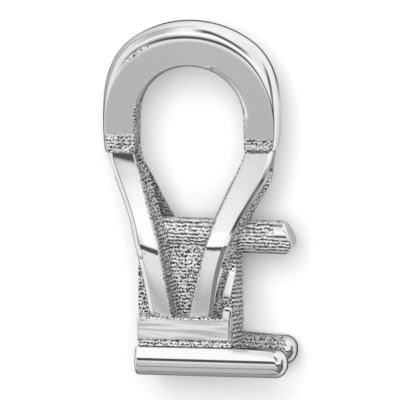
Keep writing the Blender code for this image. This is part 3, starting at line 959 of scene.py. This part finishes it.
def makeUpperProng():
    # round bar; toward the tip each point slides along x until the last ring follows the slanted tip's line
    bar, ease, rings = upperProng, upperProng["ease"], upperProng["endRings"]
    a = np.linspace(0, 2 * np.pi, bar["around"], endpoint=False)
    endX = max(row["x"] for row in bar["tip"])
    turn = np.linspace(0, np.pi / 2, bar["easeSteps"])[1:]
    x = np.linspace(bar["rearX"], endX - ease, bar["stations"])
    r = np.full(len(x), bar["radius"])
    x = np.concatenate([x, endX - ease * (1 - np.sin(turn))])
    r = np.concatenate([r, bar["radius"] - ease * (1 - np.cos(turn))])
    inner = np.linspace(0, 1, rings + 2)[1:-1]
    x = np.concatenate([np.full(rings, x[0]), x, np.full(rings, x[-1])])
    r = np.concatenate([r[0] * inner, r, r[-1] * inner[::-1]])
    up = r[:, None] * np.cos(a)[None]
    slide = (readRows(bar["tip"], up, "x") - endX) * ramp(x, bar["bentFrom"], endX - ease)[:, None]
    grid = np.stack([x[:, None] + slide, bar["y"] + up, r[:, None] * np.sin(a)[None]], axis=2)
    facet = ramp(np.cos(a), *bar["facetLow"]) * (1 - ramp(np.cos(a), *bar["facetHigh"]))
    facet = ramp(np.sin(a), *bar["facetOut"]) * facet * ramp(grid[..., 0], *bar["facetX"])
    atEnd = ramp(x, endX - ease, endX - ease / 2)[:, None] * np.ones(len(a))
    cast = 1 - np.maximum(facet, atEnd)
    return solidFromRings("upper_prong", grid, cast, upperProngGold, 1 - bar["tipLoss"] * atEnd)


makeLowerProng("lower_prong_near", 1, 0.0, 0.42)
makeLowerProng("lower_prong_far", -1, 1.0, 0.36)
makeUpperProng()
print("all pieces made")


# Floor, light and camera

view = {
    "leanRight": 0.172, "leanUp": 0.204,   # how far the camera stands to +x and +y for each unit of z
    "distance": 160.0,                     # mm
    "pxPerMm": 30.1, "photoSide": 400,
    "lookX": 0.271, "lookY": 5.33,         # what lies in the middle of the photo
    "sensor": 36, "clip": (0.02, 10),      # the sensor's width in mm, the clip range in metres
}
paper = {
    "halfSide": 0.6,        # metres
    "roughness": 0.7,
    "tones": (0.86, 0.89), "mottle": 40.0,
    # painted shade: the metal mirrors it painted darker toward the rear and the feet of the part, standing in
    # for
    # shade there: the share of the paler tone at the part's middle, and what it gains for each metre along x
    # and y
    "paintedMirrorShade": (0.36, 0.74), "share": 0.45, "gainX": 90.0, "gainY": 50.0,
}


def makeFloor():
    # pale paper, one square; glossy rays see it painted darker, as painted shade in its reflections
    size = paper["halfSide"]
    mesh = bpy.data.meshes.new("floor")
    corners = [(-size, -size, 0), (size, -size, 0), (size, size, 0), (-size, size, 0)]
    mesh.from_pydata(corners, [], [(0, 1, 2, 3)])
    floor = newObject("floor", mesh)
    floor.location.z = cadLow.z
    material, tree, shader, place = newMaterial("paleFloor")
    shader.inputs["Roughness"].default_value = paper["roughness"]
    tone = tree.nodes.new("ShaderNodeValToRGB")
    for stop, shade in zip(tone.color_ramp.elements, paper["tones"]):
        stop.color = grey(shade)
    tree.links.new(addNoise(tree, place, paper["mottle"], 2.0, 0.5), tone.inputs["Fac"])
    axes = addAxes(tree, place)
    alongX = addMath(tree, "MULTIPLY_ADD", axes["X"], paper["gainX"], third=paper["share"])
    alongY = addMath(tree, "MULTIPLY", axes["Y"], paper["gainY"])
    toward = addMath(tree, "ADD", alongX, alongY, clamp=True)
    paintedMirrorShade = mixColour(tree, toward, grey(paper["paintedMirrorShade"][0]), grey(paper["paintedMirrorShade"][1]))
    # painted shade: only glossy rays see the darker tones, a painted reflection of shade
    path = tree.nodes.new("ShaderNodeLightPath")
    seen = mixColour(tree, path.outputs["Is Glossy Ray"], tone.outputs["Color"], paintedMirrorShade)
    tree.links.new(seen, shader.inputs["Base Color"])
    mesh.materials.append(material)


def makeCamera():
    # the lens is long enough that a millimetre at the aim takes its share of the photo's side
    data = bpy.data.cameras.new("camera")
    camera = newObject("camera", data)
    back = Vector((view["leanRight"], view["leanUp"], 1.0)).normalized()
    right = Vector((0, 1, 0)).cross(back).normalized()
    up = back.cross(right)
    aim = Vector(origin) + Vector((view["lookX"], view["lookY"], 0)) * mm
    place = aim + back * view["distance"] * mm
    turn = Matrix((right, up, back)).transposed().to_4x4()
    camera.matrix_world = Matrix.Translation(place) @ turn
    data.sensor_width = view["sensor"]
    data.lens = view["sensor"] * view["distance"] / (view["photoSide"] / view["pxPerMm"])
    data.clip_start, data.clip_end = view["clip"]
    bpy.context.scene.camera = camera


# Each row: angle from straight out toward the bail's top, in degrees, and the brightness there, for what is
# mirrored toward the rear, the middle, the front and the far front of the part.
tent = (
    {"angle": -180, "rear": 0.50, "middle": 0.50, "front": 0.50, "side": 0.50},
    {"angle": -155, "rear": 0.50, "middle": 0.50, "front": 0.50, "side": 0.50},
    {"angle": -148, "rear": 0.50, "middle": 1.00, "front": 1.00, "side": 0.40},
    {"angle": -125, "rear": 0.50, "middle": 1.00, "front": 1.00, "side": 0.40},
    {"angle": -118, "rear": 0.45, "middle": 0.45, "front": 0.44, "side": 0.44},
    {"angle": -108, "rear": 0.45, "middle": 0.45, "front": 0.44, "side": 0.44},
    {"angle": -104, "rear": 0.12, "middle": 0.12, "front": 0.10, "side": 0.10},
    {"angle": -78, "rear": 0.12, "middle": 0.12, "front": 0.10, "side": 0.10},
    {"angle": -73, "rear": 0.44, "middle": 0.44, "front": 0.44, "side": 0.14},
    {"angle": -46, "rear": 0.50, "middle": 0.56, "front": 0.54, "side": 0.20},
    {"angle": -41, "rear": 0.20, "middle": 0.20, "front": 0.12, "side": 0.10},
    {"angle": -36, "rear": 0.20, "middle": 0.20, "front": 0.12, "side": 0.10},
    {"angle": -31, "rear": 0.46, "middle": 0.46, "front": 0.44, "side": 0.24},
    {"angle": -20, "rear": 0.56, "middle": 0.70, "front": 0.68, "side": 0.26},
    {"angle": -11, "rear": 0.50, "middle": 0.50, "front": 0.50, "side": 0.26},
    {"angle": -2, "rear": 0.80, "middle": 0.85, "front": 0.85, "side": 0.26},
    {"angle": 5, "rear": 0.80, "middle": 0.92, "front": 0.90, "side": 0.20},
    {"angle": 9, "rear": 0.22, "middle": 0.09, "front": 0.10, "side": 0.10},
    {"angle": 18, "rear": 0.22, "middle": 0.08, "front": 0.09, "side": 0.10},
    {"angle": 22, "rear": 0.52, "middle": 0.50, "front": 0.50, "side": 0.55},
    {"angle": 25, "rear": 0.58, "middle": 0.76, "front": 0.82, "side": 0.85},
    {"angle": 29, "rear": 0.66, "middle": 0.90, "front": 1.05, "side": 0.95},
    {"angle": 34, "rear": 1.05, "middle": 1.15, "front": 1.15, "side": 1.00},
    {"angle": 42, "rear": 1.05, "middle": 1.10, "front": 1.05, "side": 1.00},
    {"angle": 45, "rear": 0.62, "middle": 1.10, "front": 1.00, "side": 1.00},
    {"angle": 49, "rear": 0.58, "middle": 1.05, "front": 0.12, "side": 0.95},
    {"angle": 63, "rear": 0.55, "middle": 1.00, "front": 0.12, "side": 0.90},
    {"angle": 68, "rear": 0.55, "middle": 0.95, "front": 0.95, "side": 0.90},
    {"angle": 88, "rear": 0.50, "middle": 0.72, "front": 1.05, "side": 0.95},
    {"angle": 125, "rear": 0.48, "middle": 0.60, "front": 1.00, "side": 0.90},
    {"angle": 180, "rear": 0.50, "middle": 0.50, "front": 0.50, "side": 0.50},
)
tentTurn = {
    # the direction's x over which each column takes over from the one before it; white comes before the rear
    # one, a dark strip and grey after the side one
    "rear": (-0.80, -0.60), "middle": (-0.45, -0.25), "front": (-0.15, -0.02), "side": (0.32, 0.50),
    "end": (0.82, 0.94), "past": (0.955, 0.98),
    "startTone": 0.90, "endTone": 0.10, "pastTone": 0.26,
    # the rows slip along the angle over these x of the direction, by this many degrees
    "slips": (
        {"from": -0.366, "to": -0.166, "start": -7.2, "stop": 0.0},
        {"from": 0.06, "to": 0.334, "start": 0.0, "stop": 18.0},
    ),
}


def makeTent():
    # brightness by the angle round x, read from one ramp for each column
    world = bpy.data.worlds.new("tent")
    world.use_nodes = True
    bpy.context.scene.world = world
    tree = world.node_tree
    background = tree.nodes["Background"]
    axes = addAxes(tree, tree.nodes.new("ShaderNodeTexCoord").outputs["Generated"])
    angle = addMath(tree, "ARCTAN2", axes["Y"], axes["Z"])
    for row in tentTurn["slips"]:
        start, stop = math.radians(row["start"]), math.radians(row["stop"])
        angle = addMath(tree, "ADD", angle, addRange(tree, axes["X"], row["from"], row["to"], start, stop))
    share = addMath(tree, "MULTIPLY_ADD", angle, 1 / (2 * math.pi), third=0.5)
    shades = {}
    for column in ("rear", "middle", "front", "side"):
        node = tree.nodes.new("ShaderNodeValToRGB")
        stops = node.color_ramp.elements
        for row in tent[1:-1]:
            stops.new(row["angle"] / 360 + 0.5)
        for stop, row in zip(stops, tent):
            stop.color = grey(row[column])
        tree.links.new(share, node.inputs["Fac"])
        shades[column] = node.outputs["Color"]
    for label in ("end", "past"):
        shades[label] = grey(tentTurn[label + "Tone"])
    seen = grey(tentTurn["startTone"])
    for label in ("rear", "middle", "front", "side", "end", "past"):
        seen = mixColour(tree, addRange(tree, axes["X"], *tentTurn[label]), seen, shades[label])
    tree.links.new(seen, background.inputs["Color"])
    background.inputs["Strength"].default_value = 1.0


keyLight = {"size": 0.24, "energy": 0.9, "at": (0.005, 0.10, 0.29)}      # metres and watts


def makeKeyLight():
    data = bpy.data.lights.new("keyLight", "AREA")
    data.shape = "SQUARE"
    data.size = keyLight["size"]
    data.energy = keyLight["energy"]
    light = newObject("keyLight", data)
    light.location = keyLight["at"]
    light.rotation_mode = "QUATERNION"
    light.rotation_quaternion = Vector(light.location).to_track_quat("Z", "Y")
    light.visible_glossy = False


makeFloor()
makeCamera()
makeTent()
makeKeyLight()
bpy.context.scene.view_settings.view_transform = "Standard"
print("stage ready")
